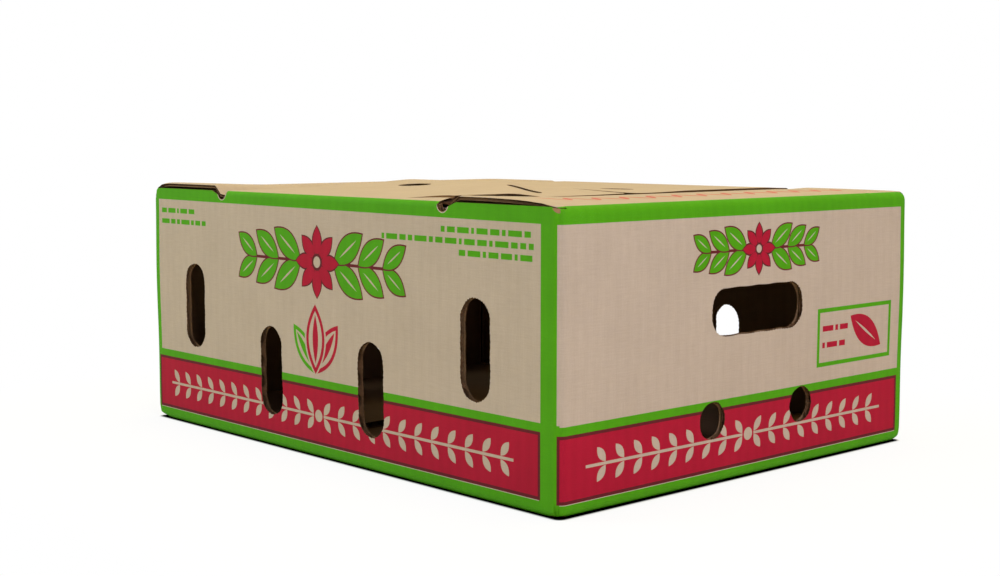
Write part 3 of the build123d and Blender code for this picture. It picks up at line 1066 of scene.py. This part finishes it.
def sheet(name, place, outline, holes, shapes, lines, points, depths, back):
    """A thin closed sheet with its outer face at depths[0] and its inner face at depths[1].
    Depths may be functions of u. Shapes colour the outer face, later ones over earlier ones."""
    loops = [outline, *holes, *[loop for _, loop in shapes]]
    flat, tris = triangulate(loops, lines, points)
    hole_numbers = set(range(1, len(holes) + 1))
    kept, inks = [], []
    for tri, inside in tris:
        if inside & hole_numbers:
            continue
        prints = [i for i in inside if i > len(holes)]
        kept.append(tri)
        inks.append(shapes[max(prints) - len(holes) - 1][0] if prints else (KRAFT if shapes else back))
    used = sorted({i for tri in kept for i in tri})
    number = {old: new for new, old in enumerate(used)}
    u, v = flat[used].T
    kept = [tuple(number[i] for i in tri) for tri in kept]
    depth_out, depth_in = (d(u) if callable(d) else np.full(len(u), d) for d in depths)
    count = len(used)
    corners = np.vstack((place(u, v, depth_out), place(u, v, depth_in))) * MM
    owned = {(a, b) for tri in kept for a, b in zip(tri, tri[1:] + tri[:1])}
    rim = sorted((b, a, a + count, b + count) for a, b in owned if (b, a) not in owned)
    backs = [tuple(i + count for i in reversed(tri)) for tri in kept]
    mesh = bpy.data.meshes.new(name)
    mesh.from_pydata(corners.tolist(), [], kept + backs + rim)
    # The rim faces take the cut-edge colour, which is partly painted shade.
    mesh.polygons.foreach_set("material_index", inks + [back] * len(backs) + [SHADED_CUT] * len(rim))
    mesh.polygons.foreach_set("use_smooth", [True] * len(mesh.polygons))
    blank = mesh.attributes.new("blank", "FLOAT_VECTOR", "POINT")
    flat_place = np.column_stack((np.tile(u, 2), np.tile(v, 2), np.concatenate((depth_out, depth_in))))
    blank.data.foreach_set("vector", flat_place.astype(np.float32).ravel())
    for material in materials:
        mesh.materials.append(material)
    mesh.set_sharp_from_angle(angle=SHARP_ANGLE)
    if not callable(depths[0]):
        set_true_normals(mesh, place, u, v, depth_out, kept)
    piece = bpy.data.objects.new(name, mesh)
    bpy.context.scene.collection.objects.link(piece)
    return piece


def liner_lines(panel):
    """Fold lines and corner columns, as edges that a liner bends at."""
    reach = straight_x if panel.long else END_FLAP_HALF + LINE_OVERRUN
    sections = [long_section, hinge_section] if panel.long else [end_section]
    marks = sorted({round(m, 4) for s in sections for m in s.marks})
    lines = [((panel.u - reach, m), (panel.u + reach, m)) for m in marks]
    if not panel.long:
        columns = [END_FLAP_HALF - rim for rim in RIM_COLUMNS]
        for column in columns + [-c for c in columns]:
            lines.append(((panel.u + column, crest_end), (panel.u + column, marks[-1])))
    for mark in plan.marks:
        if -panel.low_split < mark - panel.u < panel.high_split:
            lines.append(((mark, 0), (mark, HEIGHT)))
    return lines


def lattice(u_start, u_end, v_start, v_end, gap):
    return [(u, v) for u in np.arange(u_start, u_end, gap) for v in np.arange(v_start, v_end, gap)]


def wall_points(low, high):
    """Loose points that let a wall follow a soft shape, closer together near the corners of the box."""
    start = GRID_GAP / 2
    points = lattice(low + start, high, GRID_EDGE + start, HEIGHT - GRID_EDGE, GRID_GAP)
    for u in (low, high - CORNER_GRID):
        for v in (0, HEIGHT - CORNER_GRID):
            points += lattice(u, u + CORNER_GRID, v, v + CORNER_GRID, CORNER_GRID_GAP)
    return points


def flute_points(low, high, marks):
    step = FLUTE_PITCH / FLUTE_STEPS
    columns = np.arange(math.ceil(low / step), math.floor(high / step) + 1) * step
    spans = zip(marks, marks[1:])
    rows = [np.linspace(a, b, max(2, math.ceil((b - a) / FLUTE_ROW) + 1)) for a, b in spans]
    return [(u, m) for u in columns for m in np.unique(np.round(np.concatenate(rows), 3))]


def flute_depth(offset):
    def depth(u):
        return BOARD / 2 + offset + FLUTE_SWING * np.sin(2 * math.pi * u / FLUTE_PITCH)

    return depth


# Layers of the board: name, depths of both faces, and what the inner face shows
LAYERS = (
    ("outer", (0.0, LINER), INNER),
    # The fluting shows the cut-edge colour, partly painted shade, on both faces.
    ("fluting", (flute_depth(-MEDIUM / 2), flute_depth(MEDIUM / 2)), SHADED_CUT),
    ("inner", (BOARD - LINER, BOARD), INNER),
)


def wall_pieces(panel):
    outline = shifted(long_outline(panel) if panel.long else end_outline(panel), panel.u)
    shapes = long_print(panel) if panel.long else end_print(panel)
    shapes = [(ink, shifted(loop, panel.u)) for ink, loop in shapes]
    low, high = panel.u - panel.low_split, panel.u + panel.high_split
    for seed, (layer, depths, back) in enumerate(LAYERS):
        holes = [shifted(loop, panel.u) for loop in wall_holes(panel, seed * LAYER_SEED)]
        lines, points = liner_lines(panel), wall_points(low, high)
        if layer == "fluting":
            lines, points = [], flute_points(low, high, panel.section.marks)
        ink = shapes if layer == "outer" else []
        name = f"{panel.name}_wall_{layer}"
        piece = sheet(name, panel.place, outline, holes, ink, lines, points, depths, back)
        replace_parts(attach(piece, "box"), "box_body")


def flap_span(panel):
    return panel.u + NOTCH_SHIFT - FLAP_HALF, panel.u + NOTCH_SHIFT + FLAP_HALF


def flap_pieces(panel):
    place = partial(place_flap, panel)
    body, node = f"{panel.name}_flap", f"{panel.name}_top_flap"
    outline = shifted(flap_outline(), panel.u)
    marks = flap_section.marks
    low, high = flap_span(panel)
    past_low, past_high = low - OVERRUN, high + OVERRUN
    crack = flap_section.mark_of(0, CRACK_PLACE)
    crack_end = crack + CRACK_WIDTH
    shapes = [(KRAFT, rectangle(past_low, STRIP_END - OVERRUN, past_high, marks[-1] + OVERRUN))]
    # Painted shade: a thin strip in the dark cut-edge colour over the step of the crack at the flap's right
    # end stands for the shadow in the crack.
    if panel.name == "near":
        lower, upper = (high - CRACK_SHADE_LENGTHS[0], crack), (high - CRACK_SHADE_LENGTHS[1], crack_end)
        shapes.append((SHADED_CUT, [lower, (past_high, crack), (past_high, crack_end), upper]))
    for seed, (layer, depths, back) in enumerate(LAYERS):
        holes = [shifted(loop, panel.u) for loop in flap_vents(seed * LAYER_SEED)]
        rows = [*marks, *(crack + step for step in CRACK_ROWS)]
        lines = [((past_low, m), (past_high, m)) for m in rows]
        u_start, v_start = low + FLAP_GRID_START[0], STRIP_END + FLAP_GRID_START[1]
        points = lattice(u_start, high, v_start, marks[-1], FLAP_GRID_GAP)
        if layer == "fluting":
            lines, points = [], flute_points(low, high, marks)
        ink = shapes if layer == "outer" else []
        name = f"{panel.name}_flap_{layer}"
        piece = sheet(name, place, outline, holes, ink, lines, points, depths, back)
        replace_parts(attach(piece, body), node)


def fold_strip(panel):
    """The outer liner where it bends over a long flap's fold."""
    low, high = flap_span(panel)
    past_low, past_high = low - OVERRUN, high + OVERRUN
    rows = np.linspace(STRIP_START, STRIP_END, STRIP_ROWS)

    def place(u, v, depth):
        return panel.fold_over(u - panel.u, v, depth, hinge_section)

    outline = rectangle(low, STRIP_START, high, STRIP_END)
    shapes = [
        (KRAFT, rectangle(past_low, STRIP_START - OVERRUN, past_high, STRIP_END + OVERRUN)),
        (GREEN, rectangle(past_low, STRIP_START - OVERRUN, past_high, INK_OVER_CREST)),
    ]
    lines = [((past_low, m), (past_high, m)) for m in rows[1:-1]]
    points = [(u, m) for u in np.arange(low + STRIP_GAP / 2, high, STRIP_GAP) for m in rows]
    strip = sheet(f"{panel.name}_fold", place, outline, [], shapes, lines, points, (0.0, LINER), INNER)
    ends = place(np.full(2, panel.u), np.array((STRIP_START, STRIP_END)), 0.0) * MM
    tuple(ends[0])
    tuple(ends[1])
    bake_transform(strip)


for wall in panels.values():
    wall_pieces(wall)
for wall in (panels["near"], panels["rear"]):
    flap_pieces(wall)
    fold_strip(wall)


# Stage, in metres: a pale floor that fades into a white world, soft lights and the camera
WHITE = (1, 1, 1, 1)
FLOOR_HALF = 6.0
FLOOR_ROUGHNESS = 0.9
FLOOR_TONE = 0.86
# Painted contact shadow: where the floor's colour goes from black to its pale tone, in metres past the
# footprint
CONTACT_SHADOW_RANGE = (-0.0016, 0.0008)
CLOSE_RANGE = (-0.0014, 0.0014)
CLOSE_GLOW_SHARE = 0.9
FAR_RANGE = (0.0, 0.2)
FAR_GLOW_SHARE = 0.1
WORLD_LIGHT = 0.28
SENSOR_WIDTH = 36.0
FOCAL_LENGTH = 54.77
CAMERA_PLACE = (0.7387, -0.6878, 0.1947)
CAMERA_FORWARD = (-0.7345, 0.671, -0.0991)

# Lamps: name, place, size, power in watts, colour
LAMPS = (
    ("left_light", (-1.5, -1.6, 1.3), 1.4, 30.0, (0.87, 1.0, 0.97)),
    ("right_light", (2.1, -0.6, 1.3), 1.4, 40.0, (0.76, 0.77, 1.0)),
    ("top_light", (0.1, 0.3, 2.2), 1.6, 43.0, (1.0, 0.78, 0.22)),
)


def background_share(tree):
    """1 where the background itself is seen, straight or in a gloss, and 0 where it lights the object."""
    rays = add_node(tree, "ShaderNodeLightPath").outputs
    return math_node(tree, "MAXIMUM", rays["Is Camera Ray"], rays["Is Glossy Ray"])


def floor_material():
    """Pale and glowing white in the open, and painted black right under the rim of the box as a painted
    contact shadow.
    """
    material = bpy.data.materials.new("floor")
    material.use_nodes = True
    tree = material.node_tree
    surface = tree.nodes["Principled BSDF"]
    surface.inputs["Roughness"].default_value = FLOOR_ROUGHNESS
    surface.inputs["Specular IOR Level"].default_value = 0.0
    place = add_node(tree, "ShaderNodeNewGeometry").outputs["Position"]
    footprint = (straight_x * MM, straight_y * MM, 0)
    past = vector_node(tree, "SUBTRACT", vector_node(tree, "ABSOLUTE", place)[0], footprint)[0]
    past = vector_node(tree, "MAXIMUM", past, (0, 0, 0))[0]
    far = math_node(tree, "SUBTRACT", vector_node(tree, "LENGTH", past)["Value"], FOLD * MM)
    # Painted contact shadow: the floor's own colour falls to black within about a millimetre of the rounded
    # footprint.
    contact_shadow_tone = spread(tree, far, *CONTACT_SHADOW_RANGE, 0.0, FLOOR_TONE)
    grey = add_node(tree, "ShaderNodeCombineColor", {0: contact_shadow_tone, 1: contact_shadow_tone, 2: contact_shadow_tone}).outputs[0]
    tree.links.new(grey, surface.inputs["Base Color"])
    glow = add_node(tree, "ShaderNodeEmission", {"Color": WHITE, "Strength": 1.0}).outputs[0]
    close = spread(tree, far, *CLOSE_RANGE, 0.0, CLOSE_GLOW_SHARE)
    open_floor = spread(tree, far, *FAR_RANGE, 0.0, FAR_GLOW_SHARE)
    share = math_node(tree, "MULTIPLY", background_share(tree), total(tree, close, open_floor))
    mixed = add_node(tree, "ShaderNodeMixShader", {0: share, 1: surface.outputs[0], 2: glow})
    tree.links.new(mixed.outputs[0], tree.nodes["Material Output"].inputs["Surface"])
    return material


def floor():
    mesh = bpy.data.meshes.new("floor")
    corners = [(x, y, 0) for x, y in rectangle(-FLOOR_HALF, -FLOOR_HALF, FLOOR_HALF, FLOOR_HALF)]
    mesh.from_pydata(corners, [], [(0, 1, 2, 3)])
    mesh.materials.append(floor_material())
    piece = bpy.data.objects.new("floor", mesh)
    bpy.context.scene.collection.objects.link(piece)


def world():
    scene_world = bpy.data.worlds.new("studio")
    bpy.context.scene.world = scene_world
    scene_world.use_nodes = True
    tree = scene_world.node_tree
    background = tree.nodes["Background"]
    background.inputs["Color"].default_value = WHITE
    strength = spread(tree, background_share(tree), 0.0, 1.0, WORLD_LIGHT, 1.0)
    tree.links.new(strength, background.inputs["Strength"])


def soft_light(name, place, size, power, colour):
    lamp = bpy.data.lights.new(name, "AREA")
    lamp.shape = "DISK"
    lamp.size = size
    lamp.energy = power
    lamp.color = colour
    piece = bpy.data.objects.new(name, lamp)
    piece.location = place
    aim = Vector((0, 0, HEIGHT * MM / 2)) - piece.location
    piece.rotation_euler = aim.to_track_quat("-Z", "Y").to_euler()
    bpy.context.scene.collection.objects.link(piece)


def camera():
    lens_data = bpy.data.cameras.new("camera")
    lens_data.sensor_width = SENSOR_WIDTH
    lens_data.lens = FOCAL_LENGTH
    piece = bpy.data.objects.new("camera", lens_data)
    piece.location = CAMERA_PLACE
    piece.rotation_euler = Vector(CAMERA_FORWARD).to_track_quat("-Z", "Y").to_euler()
    bpy.context.scene.collection.objects.link(piece)
    bpy.context.scene.camera = piece


floor()
world()
for lamp in LAMPS:
    soft_light(*lamp)
camera()
bpy.context.scene.view_settings.view_transform = "Standard"
